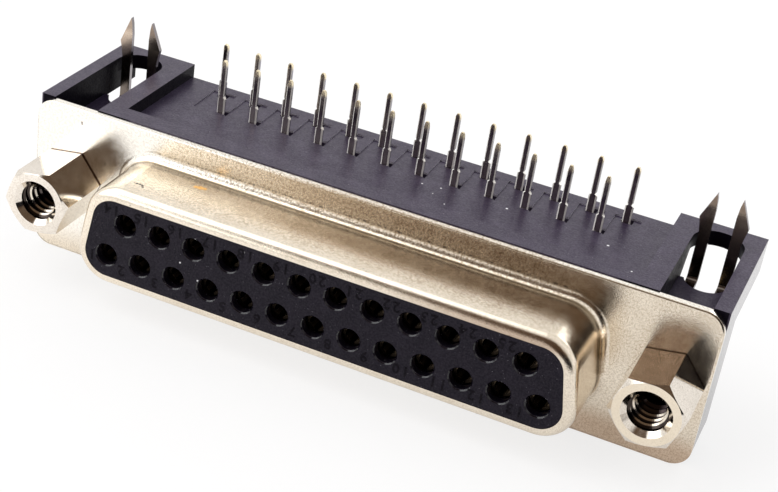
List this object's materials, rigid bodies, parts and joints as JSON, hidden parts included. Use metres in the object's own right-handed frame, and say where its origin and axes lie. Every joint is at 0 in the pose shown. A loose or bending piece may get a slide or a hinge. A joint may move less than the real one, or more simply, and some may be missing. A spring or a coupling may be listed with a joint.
{
  "type": "d-sub connector",
  "caption": "Right-angle D-sub socket connector for a circuit board, with drawn steel shell, black housing, jackscrews and forked board locks.",
  "frame": {"origin": "Centre of the D-shaped shroud on the flange's front plane, midway between the two jackscrew axes.", "axes": "+X runs along the flange, to the right when the mating face is seen with the board side up. +Y points to the rear, away from the mating plug. +Z points to the board side, so the tails and board locks point up."},
  "size_m": [0.053, 0.0185, 0.0161],
  "materials": {
    "shell_plating": "nickel-plated drawn steel, satin, slightly warm",
    "insulator_plastic": "black glass-filled thermoplastic, low sheen",
    "bracket_plastic": "black glass-filled thermoplastic, low sheen",
    "screw_plating": "nickel-plated turned metal",
    "insert_brass": "turned brass",
    "lock_tin": "tin-plated spring metal",
    "contact_tin": "tin-plated copper alloy tail, gold-plated socket"
  },
  "bodies": {
    "root": {"front_shell": "shell_plating", "insulator": "insulator_plastic", "bracket": "bracket_plastic", "jackscrews": "screw_plating", "threaded_inserts": "insert_brass", "boardlock_left": "lock_tin", "boardlock_right": "lock_tin", "contact_01": "contact_tin", "contact_02": "contact_tin", "contact_03": "contact_tin", "contact_04": "contact_tin", "contact_05": "contact_tin", "contact_06": "contact_tin", "contact_07": "contact_tin", "contact_08": "contact_tin", "contact_09": "contact_tin", "contact_10": "contact_tin", "contact_11": "contact_tin", "contact_12": "contact_tin", "contact_13": "contact_tin", "contact_14": "contact_tin", "contact_15": "contact_tin", "contact_16": "contact_tin", "contact_17": "contact_tin", "contact_18": "contact_tin", "contact_19": "contact_tin", "contact_20": "contact_tin", "contact_21": "contact_tin", "contact_22": "contact_tin", "contact_23": "contact_tin", "contact_24": "contact_tin", "contact_25": "contact_tin"}
  },
  "joints": []
}
